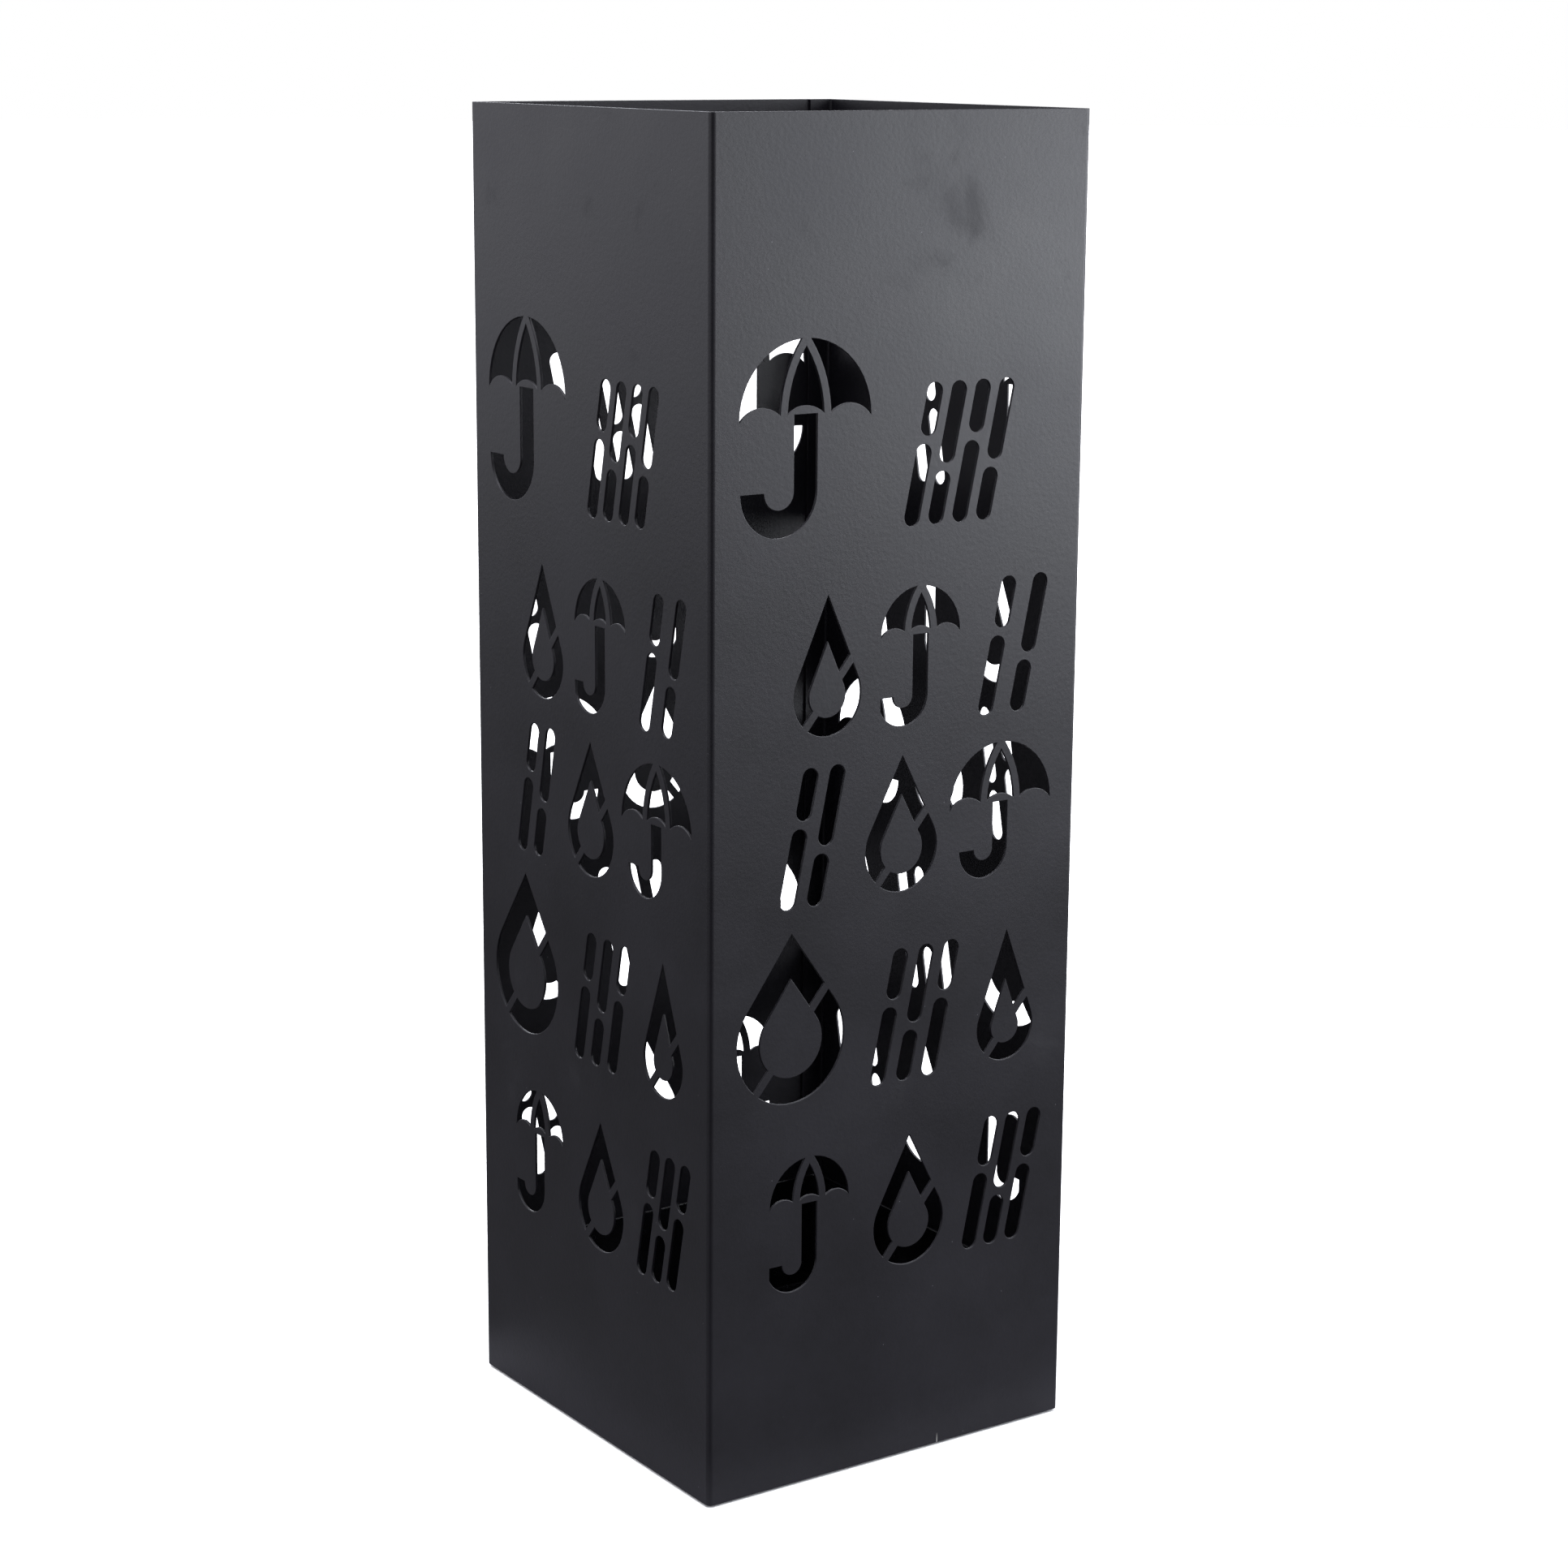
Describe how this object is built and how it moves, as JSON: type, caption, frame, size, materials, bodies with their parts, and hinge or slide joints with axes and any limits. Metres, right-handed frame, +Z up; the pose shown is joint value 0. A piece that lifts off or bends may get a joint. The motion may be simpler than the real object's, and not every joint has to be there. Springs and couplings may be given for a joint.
{
  "type": "umbrella stand",
  "caption": "Tall square umbrella stand of folded sheet steel with cut-out pictures in every wall, a welded base pan on foot pads, and a plastic drip tray that lifts out of the top.",
  "frame": {"origin": "middle of the footprint on the floor, level with the underside of the foot pads", "axes": "+Z up, the front wall faces -Y, the left wall faces -X, and the lap seam is at the +X +Y corner"},
  "size_m": [0.16, 0.16, 0.49],
  "materials": {
    "powder_coat": "matte black powder coat, fine orange peel",
    "tray_plastic": "glossy black moulded plastic",
    "pad_rubber": "matte foam rubber"
  },
  "bodies": {
    "stand": {"casing": "powder_coat", "base_pan": "powder_coat", "foot_pad_front_left": "pad_rubber", "foot_pad_front_right": "pad_rubber", "foot_pad_back_left": "pad_rubber", "foot_pad_back_right": "pad_rubber"},
    "tray": {"drip_tray": "tray_plastic"}
  },
  "joints": [
    {"name": "tray_lift", "type": "slide", "parent": "stand", "child": "tray", "axis": [0, 0, 1], "range_m": [0, 0.5]}
  ]
}
